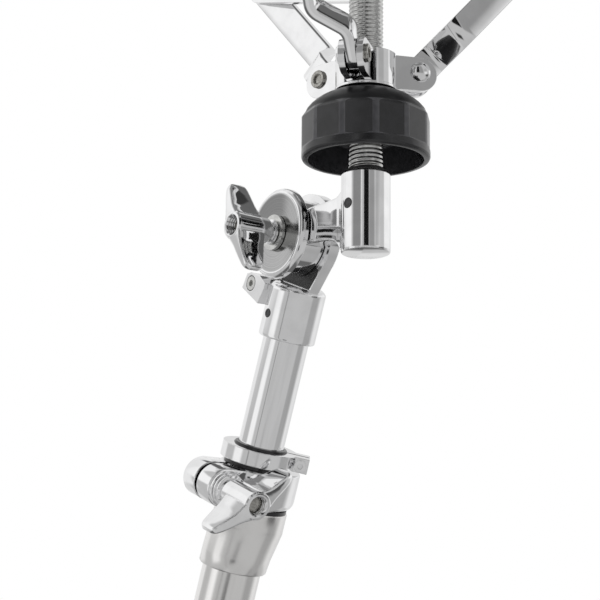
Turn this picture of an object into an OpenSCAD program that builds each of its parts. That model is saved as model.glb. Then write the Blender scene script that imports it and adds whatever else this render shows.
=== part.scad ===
/* [Tubes] */
// Outside diameter of the upper tube
upper_tube_od = 22.2; // [20:0.1:24]
// Outside diameter of the lower tube
lower_tube_od = 28.6; // [27.6:0.1:32]
// Wall of both tubes
tube_wall = 1.4; // [1:0.1:1.5]
// Height of the lower tube's bottom end above the floor
tube_clearance = 18; // [12:1:26]
// Length of the lower tube
lower_tube_len = 369; // [350:1:420]
// Length of the upper tube
upper_tube_len = 290; // [270:1:320]
// Bare length of the upper tube above the memory lock
stop_gap = 77; // [70:1:90]

/* [Tripod] */
// Length of a leg from its collar pin to the middle of its foot
leg_len = 236; // [220:1:260]
// Slope of the spread legs below the horizontal
leg_slope = 30; // [26:1:34]
// Length of a brace between its two pins
brace_len = 88; // [82:1:92]
// Distance of the leg pins from the tube axis
leg_pin_r = 30; // [29:0.5:36]
// Height of a leg's end above the floor
foot_height = 12; // [11:0.5:16]
// Width of a leg strap
leg_strap_w = 16; // [12:0.5:16]
// Width of a brace strap
brace_strap_w = 14; // [10:0.5:14]
// Thickness of every strap
strap_t = 2.5; // [2:0.1:2.6]
// Gap between the two straps of a leg
leg_strap_gap = 9; // [8:0.5:12]
// Radius of the rivets in the legs
leg_rivet_r = 3; // [2.5:0.1:3.5]
// Outside diameter of the collar and of the bottom bracket
collar_od = 38; // [36:0.5:40]
// Height of the collar and of the bottom bracket
collar_h = 22; // [18:1:26]

/* [Height clamp] */
// Outside diameter of the satin housing
housing_od = 34.3; // [33:0.1:38]
// Length of the satin housing
housing_len = 23; // [18:1:30]
// Height of the chrome clamp
clamp_h = 28; // [25:1:30]
// Radius of the clamp's round ears
ear_r = 9.6; // [9:0.1:11]
// Distance of the clamp bolt from the tube axis
clamp_bolt_y = 22.7; // [22:0.1:26]
// Thickness of each clamp ear, from the slot
clamp_ear_t = 11; // [9:0.5:13]
// Radius of the clamp bolt and of the tilter's bolt
bolt_r = 4; // [3.5:0.1:4.2]
// Thickness of the black liner's rim
liner_rim = 2; // [1.5:0.1:3]

/* [Memory lock] */
// Outside diameter of the lock ring
lock_od = 36.7; // [34:0.1:38]
// Height of the lock ring
lock_h = 7.3; // [6:0.1:9]

/* [Tilter] */
// Height of the tilter's hinge above the upper tube's end
hinge_rise = 26; // [25.5:0.1:30]
// Lean of the basket at rest
tilt = 22.4; // [15:0.1:30]
// Outside diameter of the socket on the tube
socket_od = 27.4; // [26.5:0.1:29]
// Length of the socket
socket_len = 26.5; // [22:0.5:32]
// Diameter of the tilter's round plates
plate_d = 43; // [38:0.5:43.5]
// Thickness of the front plate
plate_t = 4.5; // [4:0.1:5]
// Thickness of the arm's eye
eye_t = 13; // [11:0.1:13]
// Diameter of the arm's eye
eye_d = 36; // [32:0.5:38]
// Thickness of the upright behind the eye
upright_t = 5.5; // [5:0.1:7]
// Distance of the basket's axis from the hinge
basket_reach = 56; // [55:0.5:62]
// Height of the arm at the eye
arm_h_eye = 19; // [17:0.5:21]
// Height of the arm at the post
arm_h_post = 24; // [22:0.5:27]
// Span of the tilter's wing nut
tilt_wing_span = 47; // [42:1:48]
// Turn of the tilter's wing nut
tilt_wing_turn = 132; // [0:1:180]
// Span of the height clamp's wing nut
clamp_wing_span = 49; // [42:1:50]
// Turn of the height clamp's wing nut
clamp_wing_turn = 130; // [0:1:180]

/* [Basket] */
// Diameter of the post
post_d = 22.6; // [21:0.1:24]
// Length of the post
post_len = 37.7; // [35:0.1:40]
// Diameter of the threaded rod
rod_d = 16; // [15:0.5:16]
// Diameter of the black nut
nut_d = 59.5; // [55:0.5:62]
// Height of the black nut's straight wall
nut_wall_h = 20.4; // [18:0.1:22]
// Whole height of the black nut
nut_h = 32.5; // [31:0.1:35]
// Gap between the nut's skirt and the post
nut_gap = 6.3; // [4:0.1:8]
// Height of the hub's bent plates
hub_h = 16; // [15:0.5:18]
// Distance of the arm pivots from the basket's axis
pivot_r = 24.6; // [24:0.1:27]
// Thickness of the hub's plates
hub_plate_t = 3; // [2.5:0.1:3.2]
// Turn of the first arm about the basket's axis
first_arm = 69.8; // [60:0.1:75]

/* [Arms] */
// Thickness of an arm
arm_t = 5; // [4.5:0.1:5.4]
// Width of an arm
arm_w = 14; // [12:0.1:14]
// Rise of the arms above the basket's level
arm_rise = 48; // [44:0.5:50]
// Sideways step of an arm past its hub
arm_step = 15.3; // [15.2:0.1:18]
// Length of an arm's first stretch
arm_len_low = 110; // [100:1:120]
// Length of an arm's flatter stretch
arm_len_mid = 95; // [85:1:105]
// Length of an arm's upright end
arm_len_tip = 36; // [32:1:44]
// Distance of the link's rivet from the arm's pivot
link_pin_dist = 84; // [80:1:88]
// Height of the spider's pins above the arms' pivots
spider_rise = 46; // [44:0.5:50]
// Distance of the spider's pins from the basket's axis
spider_pin_r = 14; // [13:0.5:15]

/* [Hidden] */
$fn = 48;
eps = 0.01;

// Clearances
seat = 0.05;
run = 0.06;
face_gap = 0.3;

// Heights from the floor up
lower_tube_r = lower_tube_od / 2;
upper_tube_r = upper_tube_od / 2;
lower_top_z = tube_clearance + lower_tube_len;
clamp_top_z = lower_top_z + 0.5;
clamp_bottom_z = clamp_top_z - clamp_h;
housing_bottom_z = clamp_bottom_z - housing_len;
clamp_bolt_z = clamp_top_z - ear_r - 0.4;
lock_bottom_z = clamp_top_z + liner_rim + face_gap;
upper_top_z = lock_bottom_z + lock_h + stop_gap;
hinge_z = upper_top_z + hinge_rise;
socket_top_z = upper_top_z + 3;
socket_bottom_z = socket_top_z - socket_len;

// Depths along the hinge, from the front plate to the upright
eye_y = -9.5;
eye_front_y = eye_y - eye_t / 2;
eye_back_y = eye_y + eye_t / 2;
plate_back_y = eye_front_y - seat;
plate_front_y = plate_back_y - plate_t;
upright_front_y = eye_back_y + face_gap;
upright_back_y = upright_front_y + upright_t;
washer_t = 1.6;
washer_front_y = plate_front_y - seat - washer_t;
wing_back_y = washer_front_y - face_gap;
wing_len = 23;
wing_front_y = wing_back_y - wing_len;

// Pinch screw beside the socket
lug_front = 16;
pinch_x = 17;
pinch_z = upper_top_z - 1.5;
pinch_r = 2;
pinch_head_r = 3.4;
pinch_head_h = 3.6;

// Hole in the socket's wall
sight_turn = -92;
sight_drop = 15.3;
sight_r = 2.3;

// Set screw in the post
post_screw_turn = -84;
post_screw_z = 2.3;
post_screw_r = 2.6;

// Screw of the memory lock
lock_turn = 56;
lock_screw_r = 2;
lock_screw_x = lock_od / 2 + 2;
lock_ear_w = 12;
bush_t = 2;

// Tripod places
collar_pin_z = foot_height + leg_len * sin(leg_slope);
bracket_pin_z = collar_pin_z - 2 * brace_len * sin(leg_slope);
leg_lug_t = leg_strap_gap - 2 * face_gap;
brace_gap = leg_strap_gap + 2 * strap_t + 2 * face_gap;
brace_lug_t = brace_gap - 2 * face_gap;
rivet_head_r = 5.5;
rivet_head_h = 2;

// Basket places, from the hinge
post_bottom = -19.5;
post_top = post_bottom + post_len;
nut_bottom = post_top + nut_gap;
nut_top = nut_bottom + nut_h;
nut_dome_r = 15;
insert_z = nut_bottom + 9;
hub_bottom = nut_top + 1.5;
hub_top = hub_bottom + hub_h;
pivot_z = hub_bottom + 9;
spider_pin_z = pivot_z + spider_rise;
rod_r = rod_d / 2;
cheek_gap = arm_t + 2 * face_gap;
arm_rivet_r = 3;
link_t = 3.6;
link_w = 12;
link_rivet_r = 2.6;
link_slack = 1.5;
spider_h = 12;
link_in = rod_r + 0.8;
lug_in = 4.2;
lug_t = link_in - face_gap - lug_in;
link_out = link_in + link_t;
rod_bottom = -14;
rod_top = spider_pin_z + spider_h / 2 + 8;

// Link direction in the arm's plane
link_dx = pivot_r + link_pin_dist * cos(arm_rise) - spider_pin_r;
link_dz = link_pin_dist * sin(arm_rise) - spider_rise;
link_len = sqrt(link_dx * link_dx + link_dz * link_dz);
link_angle = atan2(link_dz, link_dx);

// Outer stretches of an arm
mid_bend = 28;
tip_bend = 55;

// Places
module at_leg(i) {
  rotate([0, 0, 120 * (i - 1)]) children();
}

module at_collar_pin(i) {
  at_leg(i) translate([leg_pin_r, 0, collar_pin_z]) rotate([0, leg_slope, 0]) children();
}

module at_bracket_pin(i) {
  at_leg(i) translate([leg_pin_r, 0, bracket_pin_z]) rotate([0, -leg_slope, 0]) children();
}

module at_hinge() {
  translate([0, 0, hinge_z]) rotate([0, -tilt, 0]) children();
}

module at_basket() {
  at_hinge() translate([basket_reach, eye_y, 0]) children();
}

module at_arm(i) {
  at_basket() rotate([0, 0, first_arm + 120 * (i - 1)]) children();
}

module at_pivot(i) {
  at_arm(i) translate([pivot_r, 0, pivot_z]) rotate([0, -arm_rise, 0]) children();
}

// Shapes that repeat
module ring(r_in, r_out, z0, z1) {
  translate([0, 0, z0]) difference() {
    cylinder(r = r_out, h = z1 - z0);
    translate([0, 0, -1]) cylinder(r = r_in, h = z1 - z0 + 2);
  }
}

module along_y(y0, y1) {
  translate([0, y1, 0]) rotate([90, 0, 0]) linear_extrude(y1 - y0) children();
}

module y_cylinder(r, y0, y1) {
  translate([0, y1, 0]) rotate([90, 0, 0]) cylinder(r = r, h = y1 - y0);
}

module x_cylinder(r, x0, x1) {
  translate([x0, 0, 0]) rotate([0, 90, 0]) cylinder(r = r, h = x1 - x0);
}

module bar(len, w) {
  translate([0, -w / 2]) square([len, w]);
  circle(d = w);
  translate([len, 0]) circle(d = w);
}

module dome(r, h) {
  sphere_r = (r * r + h * h) / (2 * h);
  intersection() {
    translate([0, 0, h - sphere_r]) sphere(sphere_r);
    cylinder(r = r, h = h + 1);
  }
}

module hex_socket(across, depth) {
  cylinder(d = across / cos(30), h = depth, $fn = 6);
}

// Wing nut along +Z, its washer face at z = 0 and its front at z = len
module wing_nut(span, len, foot_r, front_r, sweep, tip_depth, root_depth) {
  foot_h = 2;
  base_r = front_r - 0.8;
  difference() {
    union() {
      cylinder(r = foot_r, h = foot_h);
      cylinder(r1 = base_r, r2 = front_r, h = len);
      wing_blades(span, len, front_r, sweep, tip_depth, root_depth);
    }
    translate([0, 0, -1]) cylinder(r = bolt_r + seat, h = len + 2);
  }
}

// Two blades, thin and swept back at their tips, their front at z = len
module wing_blades(span, len, front_r, sweep, tip_depth, root_depth) {
  waist = front_r - 0.5;
  tip_t = 4;
  intersection() {
    linear_extrude(len + 1) wing_face(span, waist, tip_t);
    rotate([90, 0, 0]) linear_extrude(2 * front_r, center = true) {
      wing_side(span, len, waist, sweep, tip_depth, root_depth);
    }
  }
}

function blade_half(share, waist, tip_t) = tip_t / 2 + (waist - tip_t / 2) * pow(1 - share, 1.8);

module wing_face(span, waist, tip_t) {
  end = span / 2 - tip_t / 2;
  steps = 6;
  shares = [for (i = [-steps : steps]) i / steps];
  polygon(concat(
    [for (s = shares) [s * end, blade_half(abs(s), waist, tip_t)]],
    [for (s = shares) [-s * end, -blade_half(abs(s), waist, tip_t)]]
  ));
  for (side = [-1, 1]) translate([side * end, 0]) circle(d = tip_t);
}

module wing_side(span, len, root_r, sweep, tip_depth, root_depth) {
  tip_r = 3;
  for (side = [0, 1]) mirror([side, 0]) hull() {
    translate([0, len - root_depth]) square([root_r, root_depth]);
    for (z = [tip_r, tip_depth - tip_r]) {
      translate([span / 2 - tip_r, len - sweep - z]) circle(tip_r, $fn = 24);
    }
  }
}

// Lower assembly
module lower_tube() {
  color("silver") difference() {
    ring(lower_tube_r - tube_wall, lower_tube_r, tube_clearance, lower_top_z);
    translate([-1.2, -lower_tube_od, clamp_bottom_z - 8]) cube([2.4, lower_tube_od, lower_tube_len]);
  }
}

module tube_plug() {
  rim = 3;
  color("dimgray") {
    translate([0, 0, tube_clearance - rim]) cylinder(r1 = lower_tube_r - 1.5, r2 = lower_tube_r, h = rim);
    translate([0, 0, tube_clearance - eps]) cylinder(r = lower_tube_r - tube_wall - seat, h = 14);
  }
}

module lugged_collar(pin_z, lug_t, pin_r) {
  lug_w = 13;
  difference() {
    union() {
      translate([0, 0, pin_z - collar_h / 2]) cylinder(d = collar_od, h = collar_h);
      for (i = [1:3]) at_leg(i) {
        translate([lower_tube_r, -lug_t / 2, pin_z - lug_w / 2]) cube([leg_pin_r - lower_tube_r, lug_t, lug_w]);
        translate([leg_pin_r, 0, pin_z]) y_cylinder(lug_w / 2, -lug_t / 2, lug_t / 2);
      }
    }
    translate([0, 0, pin_z - collar_h]) cylinder(r = lower_tube_r + run, h = 2 * collar_h);
    if (pin_r > 0) {
      for (i = [1:3]) at_leg(i) translate([leg_pin_r, 0, pin_z]) y_cylinder(pin_r, -lug_t, lug_t);
    }
  }
}

module bottom_bracket() {
  color("gainsboro") lugged_collar(bracket_pin_z, brace_lug_t, leg_rivet_r + seat);
}

module bracket_pins() {
  half = brace_gap / 2 + strap_t + face_gap;
  color("silver") for (i = [1:3]) at_leg(i) translate([leg_pin_r, 0, bracket_pin_z]) {
    y_cylinder(leg_rivet_r, -half - eps, half + eps);
    for (side = [-1, 1]) rotate([-90 * side, 0, 0]) translate([0, 0, half]) dome(rivet_head_r, rivet_head_h);
  }
}

module leg_collar() {
  boss_r = 7;
  color("gainsboro") difference() {
    union() {
      lugged_collar(collar_pin_z, leg_lug_t, 0);
      translate([0, 0, collar_pin_z]) x_cylinder(boss_r, -collar_od / 2 - 5, -lower_tube_r - 1);
    }
    translate([0, 0, collar_pin_z]) x_cylinder(bolt_r + run, -collar_od, -lower_tube_r + 3);
  }
}

module collar_pins() {
  nib = 0.2;
  color("silver") for (i = [1:3]) at_leg(i) translate([leg_pin_r, 0, collar_pin_z]) {
    for (side = [-1, 1]) rotate([-90 * side, 0, 0]) translate([0, 0, leg_lug_t / 2]) cylinder(r = leg_rivet_r, h = nib);
  }
}

module collar_wing_bolt() {
  boss_end = collar_od / 2 + 5;
  span = 36;
  len = 14;
  front_r = 5.5;
  color("gainsboro") translate([0, 0, collar_pin_z]) {
    x_cylinder(bolt_r, -boss_end - 8, -lower_tube_r - face_gap);
    translate([-boss_end - face_gap, 0, 0]) rotate([0, -90, 0]) {
      cylinder(r1 = front_r + 1.5, r2 = front_r, h = len);
      wing_blades(span, len, front_r, sweep = 2, tip_depth = 7.5, root_depth = 11.5);
    }
  }
}

module brace(i) {
  color("gainsboro") at_bracket_pin(i) difference() {
    union() {
      along_y(-brace_gap / 2 - strap_t, -brace_gap / 2) bar(brace_len, brace_strap_w);
      along_y(brace_gap / 2, brace_gap / 2 + strap_t) bar(brace_len, brace_strap_w);
    }
    for (x = [0, brace_len]) translate([x, 0, 0]) y_cylinder(leg_rivet_r + run, -brace_gap, brace_gap);
  }
}

module leg(i) {
  half = brace_gap / 2 + strap_t + face_gap;
  color("gainsboro") at_collar_pin(i) {
    for (side = [0, 1]) mirror([0, side, 0]) {
      along_y(leg_strap_gap / 2, leg_strap_gap / 2 + strap_t) bar(leg_len, leg_strap_w);
      translate([0, leg_strap_gap / 2 + strap_t, 0]) rotate([-90, 0, 0]) dome(rivet_head_r, rivet_head_h);
      translate([brace_len, half, 0]) rotate([-90, 0, 0]) dome(rivet_head_r, rivet_head_h);
    }
    translate([brace_len, 0, 0]) y_cylinder(leg_rivet_r, -half - eps, half + eps);
  }
}

module foot(i) {
  half_w = leg_strap_gap / 2 + strap_t + 3;
  half_h = leg_strap_w / 2 + 3;
  socket = 24;
  foot_r = leg_pin_r + leg_len * cos(leg_slope);
  color("dimgray") difference() {
    union() {
      at_collar_pin(i) along_y(-half_w, half_w) {
        translate([leg_len - socket, -half_h]) square([socket, 2 * half_h]);
        translate([leg_len, 0]) circle(half_h);
      }
      at_leg(i) translate([foot_r, 0, 0]) cylinder(r = half_w + 1.5, h = foot_height - 2);
    }
    at_collar_pin(i) for (side = [0, 1]) mirror([0, side, 0]) {
      along_y(leg_strap_gap / 2 - seat, leg_strap_gap / 2 + strap_t + seat) bar(leg_len, leg_strap_w + 2 * seat);
    }
    at_leg(i) translate([foot_r, 0, -30]) cylinder(r = 60, h = 30);
  }
}

// Height clamp
module housing() {
  chamfer = 2.2;
  outer = housing_od / 2;
  color("silver") rotate_extrude() polygon([
    [lower_tube_r + seat, housing_bottom_z], [outer - chamfer, housing_bottom_z],
    [outer, housing_bottom_z + chamfer * 1.6], [outer, clamp_bottom_z - seat],
    [lower_tube_r + seat, clamp_bottom_z - seat]
  ]);
}

module height_clamp() {
  ring_r = housing_od / 2 + 0.4;
  slot = 2.4;
  ear_end = slot / 2 + clamp_ear_t;
  color("gainsboro") difference() {
    union() {
      translate([0, 0, clamp_bottom_z]) cylinder(r = ring_r, h = clamp_h);
      translate([0, -clamp_bolt_y, clamp_bolt_z]) x_cylinder(ear_r, -ear_end, ear_end);
      translate([-ear_end, -clamp_bolt_y, clamp_bolt_z - ear_r]) cube([2 * ear_end, clamp_bolt_y, 2 * ear_r]);
    }
    translate([0, 0, clamp_bottom_z - 1]) cylinder(r = lower_tube_r + seat, h = clamp_h + 2);
    translate([-slot / 2, -clamp_bolt_y - ear_r - 1, clamp_bottom_z - 1]) cube([slot, clamp_bolt_y, clamp_h + 2]);
    translate([0, -clamp_bolt_y, clamp_bolt_z]) x_cylinder(bolt_r + seat, -ear_end - 1, ear_end + 1);
  }
}

module clamp_liner() {
  sleeve_r = lower_tube_r - tube_wall - seat;
  color("black") difference() {
    union() {
      translate([0, 0, clamp_top_z + seat - 40]) cylinder(r = sleeve_r, h = 40);
      translate([0, 0, clamp_top_z + seat]) cylinder(r = housing_od / 2 - 1.2, h = liner_rim - seat);
    }
    translate([0, 0, clamp_top_z - 60]) cylinder(r = upper_tube_r + run, h = 90);
  }
}

module clamp_bolt() {
  ear_end = 1.2 + clamp_ear_t;
  head_h = 6;
  color("gainsboro") translate([0, -clamp_bolt_y, clamp_bolt_z]) {
    x_cylinder(bolt_r, -ear_end - seat - eps, ear_end + 31);
    translate([-ear_end - seat, 0, 0]) rotate([0, -90, 0]) difference() {
      cylinder(r = ear_r - 0.6, h = head_h);
      translate([0, 0, head_h - 3]) hex_socket(6, 4);
    }
    translate([ear_end + seat, 0, 0]) rotate([0, 90, 0]) ring(bolt_r - eps, ear_r - 0.8, 0, 1.6);
  }
}

module clamp_wing_nut() {
  base_x = 1.2 + clamp_ear_t + seat + 1.6 + face_gap;
  len = 28;
  color("gainsboro") translate([base_x, -clamp_bolt_y, clamp_bolt_z]) rotate([0, 90, 0]) {
    rotate([0, 0, clamp_wing_turn]) {
      wing_nut(clamp_wing_span, len, foot_r = ear_r - 1.2, front_r = 7,
        sweep = 4.6, tip_depth = 11, root_depth = 19);
    }
  }
}

// Memory lock
module memory_lock() {
  ear_out = lock_od / 2 + 6;
  slit = 1.6;
  color("gainsboro") difference() {
    union() {
      translate([0, 0, lock_bottom_z]) cylinder(d = lock_od, h = lock_h);
      rotate([0, 0, lock_turn]) translate([0, -lock_ear_w / 2, lock_bottom_z]) cube([ear_out, lock_ear_w, lock_h]);
    }
    translate([0, 0, lock_bottom_z - 1]) cylinder(r = upper_tube_r + bush_t + seat, h = lock_h + 2);
    rotate([0, 0, lock_turn]) {
      translate([0, -slit / 2, lock_bottom_z - 1]) cube([2 * ear_out, slit, lock_h + 2]);
      translate([lock_screw_x, 0, lock_bottom_z + lock_h / 2]) y_cylinder(lock_screw_r, -lock_ear_w, lock_ear_w);
    }
  }
}

module lock_bush() {
  rim = 1.6;
  color("black") ring(upper_tube_r + run, upper_tube_r + bush_t, lock_bottom_z, lock_bottom_z + lock_h + rim);
}

module lock_screw() {
  head_r = 2.9;
  head_h = 3;
  half = lock_ear_w / 2;
  color("silver") rotate([0, 0, lock_turn]) translate([lock_screw_x, 0, lock_bottom_z + lock_h / 2]) {
    y_cylinder(lock_screw_r - seat, -half - 1, half + 1);
    difference() {
      y_cylinder(head_r, -half - head_h, -half - seat);
      translate([0, -half - head_h - 0.5, 0]) rotate([-90, 0, 0]) hex_socket(2.5, 2);
    }
  }
}

// Upper tube and tilter base
module upper_tube() {
  color("gainsboro") ring(upper_tube_r - tube_wall, upper_tube_r, upper_top_z - upper_tube_len, upper_top_z);
}

module tilter_base() {
  socket_r = socket_od / 2;
  plate_r = plate_d / 2;
  slit = 1.6;
  color("gainsboro") difference() {
    union() {
      rotate_extrude() polygon([
        [0, socket_bottom_z], [socket_r - 0.8, socket_bottom_z], [socket_r, socket_bottom_z + 0.8],
        [socket_r, socket_top_z - 2], [socket_r - 2, socket_top_z], [0, socket_top_z]
      ]);
      along_y(upright_front_y, upright_back_y) {
        translate([0, hinge_z]) circle(plate_r);
        polygon([
          [-socket_r * 0.86, socket_top_z - 2], [socket_r * 0.92, socket_top_z - 2],
          [plate_r * 0.93, hinge_z - plate_r * 0.36], [-plate_r * 0.93, hinge_z - plate_r * 0.36]
        ]);
      }
      along_y(-lug_front, lug_front - 2) pinch_lug();
    }
    translate([0, 0, socket_bottom_z - 1]) cylinder(r = upper_tube_r + seat, h = upper_top_z + seat - socket_bottom_z + 1);
    translate([-socket_od, -slit / 2, socket_bottom_z - 1]) cube([socket_od, slit, socket_len - 3]);
    translate([-socket_od, -slit / 2, socket_bottom_z - 1]) cube([socket_r + 0.4, slit, socket_len + 2]);
    translate([-pinch_x, 0, pinch_z]) {
      y_cylinder(pinch_r + seat, -lug_front - 1, lug_front);
      y_cylinder(pinch_head_r + 0.4, -lug_front - 1, -lug_front + pinch_head_h);
    }
    translate([0, 0, hinge_z]) y_cylinder(bolt_r + seat, upright_front_y - 1, upright_back_y + 1);
    rotate([0, 0, sight_turn]) translate([0, 0, socket_top_z - sight_drop]) x_cylinder(sight_r, upper_tube_r, socket_od);
  }
}

// Block beside the socket that the pinch screw draws together
module pinch_lug() {
  right = socket_od * 0.19;
  left = socket_od * 0.86;
  polygon([
    [-right, upper_top_z + 1], [-right, upper_top_z - 2], [-right - 2.6, upper_top_z - 9.4],
    [-left, upper_top_z - 5], [-left + 1.6, upper_top_z + 2.4], [-left + 5, upper_top_z + 3.6],
    [-right - 6, upper_top_z + 3.6]
  ]);
}

module pinch_screw() {
  color("silver") translate([-pinch_x, 0, pinch_z]) {
    y_cylinder(pinch_r, -lug_front + pinch_head_h - 1, lug_front + 2.5);
    difference() {
      y_cylinder(pinch_head_r, -lug_front, -lug_front + pinch_head_h - seat);
      translate([0, -lug_front + 1.8, 0]) rotate([90, 0, 0]) hex_socket(3, 4);
    }
    translate([0, lug_front + 1.5 - eps, 0]) rotate([90, 0, 0]) hex_socket(7, 3.5 - seat);
  }
}

module tilter_bolt() {
  head_h = 5;
  head_r = 7.5;
  color("silver") translate([0, 0, hinge_z]) {
    y_cylinder(bolt_r, wing_front_y + 2, upright_back_y + seat + eps);
    y_cylinder(head_r, upright_back_y + seat, upright_back_y + seat + head_h);
  }
}

module tilter_wing_nut() {
  color("gainsboro") translate([0, wing_back_y, hinge_z]) rotate([90, 0, 0]) {
    rotate([0, 0, tilt_wing_turn]) {
      wing_nut(tilt_wing_span, wing_len, foot_r = 6.4, front_r = 6.9,
        sweep = 3, tip_depth = 9.3, root_depth = 15.5);
    }
  }
}

// Tilter arm and what it carries
module tilter_arm() {
  arm_half = eye_t / 2 - 0.5;
  color("gainsboro") at_hinge() difference() {
    union() {
      y_cylinder(eye_d / 2, eye_front_y, eye_back_y);
      along_y(eye_y - arm_half, eye_y + arm_half) polygon([
        [0, -arm_h_eye / 2], [eye_d / 2, -arm_h_eye / 2], [eye_d / 2 + 14, -arm_h_eye / 2 - 0.5],
        [basket_reach - 3, -arm_h_post / 2 - 3], [basket_reach - 3, arm_h_post / 2],
        [eye_d / 2 + 14, arm_h_eye / 2 + 0.3], [eye_d / 2, arm_h_eye / 2], [0, arm_h_eye / 2]
      ]);
    }
    y_cylinder(bolt_r + run, eye_front_y - 1, eye_back_y + 1);
    translate([basket_reach, eye_y, post_bottom - 10]) cylinder(d = post_d + 2 * seat, h = post_len + 20);
  }
}

module tilter_plate() {
  bevel = 1.6;
  plate_r = plate_d / 2;
  color("gainsboro") at_hinge() translate([0, plate_back_y, 0]) rotate([90, 0, 0]) rotate_extrude() polygon([
    [bolt_r + run, 0], [plate_r, 0], [plate_r, plate_t - bevel], [plate_r - bevel, plate_t], [bolt_r + run, plate_t]
  ]);
}

module tilter_washer() {
  washer_r = 8.5;
  color("silver") at_hinge() translate([0, plate_front_y - seat, 0]) rotate([90, 0, 0]) {
    ring(bolt_r + run, washer_r, 0, washer_t);
  }
}

module post() {
  edge = 0.8;
  post_r = post_d / 2;
  color("gainsboro") at_basket() difference() {
    rotate_extrude() polygon([
      [0, post_bottom], [post_r - edge, post_bottom], [post_r, post_bottom + edge],
      [post_r, post_top - edge], [post_r - edge, post_top], [0, post_top]
    ]);
    translate([0, 0, rod_bottom - 0.5]) cylinder(r = rod_r + seat, h = post_len + 10);
    at_post_screw() x_cylinder(post_screw_r, rod_r - 1, post_d);
  }
}

module at_post_screw() {
  translate([0, 0, post_screw_z]) rotate([0, 0, post_screw_turn]) children();
}

module post_screw() {
  color("dimgray") at_basket() at_post_screw() difference() {
    x_cylinder(post_screw_r - seat, rod_r + 2 * seat, post_d / 2 - 0.8);
    translate([post_d / 2 - 2.2, 0, 0]) rotate([0, 90, 0]) hex_socket(2.5, 4);
  }
}

module threaded_rod() {
  color("silver") at_basket() translate([0, 0, rod_bottom]) cylinder(r = rod_r, h = rod_top - rod_bottom);
}

module spider() {
  lug_half = spider_h / 2 - 0.8;
  color("gainsboro") at_basket() difference() {
    union() {
      translate([0, 0, spider_pin_z - spider_h / 2]) cylinder(r = rod_r + 2.6, h = spider_h);
      for (i = [1:3]) rotate([0, 0, first_arm + 120 * (i - 1)]) translate([0, 0, spider_pin_z]) {
        translate([0, -lug_t - lug_in, 0]) along_y(0, lug_t) {
          translate([4, -lug_half]) square([spider_pin_r - 4, 2 * lug_half]);
          translate([spider_pin_r, 0]) circle(lug_half);
        }
      }
    }
    translate([0, 0, spider_pin_z - spider_h]) cylinder(r = rod_r + seat, h = 2 * spider_h);
    for (i = [1:3]) rotate([0, 0, first_arm + 120 * (i - 1)]) {
      translate([spider_pin_r, 0, spider_pin_z]) y_cylinder(link_rivet_r + seat, -link_in, -3);
    }
  }
}

module spider_pins() {
  color("silver") for (i = [1:3]) at_arm(i) translate([spider_pin_r, 0, spider_pin_z]) {
    y_cylinder(link_rivet_r, -link_out - face_gap - eps, -lug_in);
    translate([0, -link_out - face_gap, 0]) rotate([90, 0, 0]) dome(4.4, 1.8);
  }
}

module rod_cap() {
  color("silver") at_basket() {
    ring(rod_r + seat, rod_r + 3, spider_pin_z + spider_h / 2 + seat, rod_top);
    translate([0, 0, rod_top]) dome(rod_r + 3, 5);
  }
}

// Hub that carries the arms
module hub_cheek(side) {
  inner = cheek_gap / 2;
  y0 = side > 0 ? inner : -inner - hub_plate_t;
  below = hub_bottom - pivot_z;
  above = hub_top - pivot_z;
  end_r = (above - below) / 2;
  translate([pivot_r, 0, pivot_z]) along_y(y0, y0 + hub_plate_t) {
    translate([-pivot_r + rod_r + 3, below]) square([pivot_r - rod_r - 3, above - below]);
    translate([0, (above + below) / 2]) circle(end_r);
  }
}

module hub_plate(i) {
  sleeve_r = rod_r + 3.2;
  color("gainsboro") difference() {
    union() {
      at_arm(i) hub_cheek(1);
      at_arm(i + 1) hub_cheek(-1);
      at_arm(i) translate([0, 0, hub_bottom]) rotate([0, 0, 32]) rotate_extrude(angle = 56) {
        translate([sleeve_r, 0]) square([hub_plate_t, hub_h]);
      }
    }
    for (k = [i, i + 1]) at_arm(k) translate([pivot_r, 0, pivot_z]) y_cylinder(arm_rivet_r + seat, -10, 10);
  }
}

module hub_rivets() {
  half = cheek_gap / 2 + hub_plate_t + seat;
  color("silver") for (i = [1:3]) at_arm(i) translate([pivot_r, 0, pivot_z]) {
    difference() {
      union() {
        y_cylinder(arm_rivet_r, -half - eps, half + eps);
        y_cylinder(4.6, -half - 2.6, -half);
        translate([0, half, 0]) rotate([-90, 0, 0]) dome(4.8, 2.6);
      }
      translate([0, -half - 2.7, 0]) rotate([-90, 0, 0]) hex_socket(4, 2.2);
    }
  }
}

module hub_sleeve() {
  flange_t = 1.2;
  color("gainsboro") at_basket() {
    ring(rod_r + 0.1, rod_r + 3.1, hub_bottom - flange_t + eps, hub_top - 0.5);
    ring(rod_r + 0.1, nut_dome_r - 0.5, hub_bottom - flange_t, hub_bottom - seat);
  }
}

// Black nut that lifts the hub
module nut_body() {
  outer = nut_d / 2;
  wall = 3;
  roof = 5.6;
  boss_r = 14;
  shoulder_z = nut_bottom + nut_wall_h + 0.6;
  dome_z = nut_top - 1.2;
  fall = dome_z - shoulder_z;
  out = outer - 0.8 - nut_dome_r;
  rotate_extrude() polygon([
    [rod_r + 3.2, nut_top], [nut_dome_r - 2, nut_top], [nut_dome_r, dome_z],
    [nut_dome_r + out / 3, dome_z - fall * 0.16], [nut_dome_r + out * 0.66, dome_z - fall * 0.45],
    [nut_dome_r + out * 0.9, dome_z - fall * 0.78], [outer - 0.8, shoulder_z], [outer, shoulder_z - 1],
    [outer, nut_bottom + 1.5], [outer - 1.2, nut_bottom], [outer - wall, nut_bottom],
    [outer - wall, nut_bottom + nut_wall_h - 2], [boss_r, nut_top - roof], [boss_r, insert_z], [rod_r + 3.2, insert_z]
  ]);
}

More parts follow.
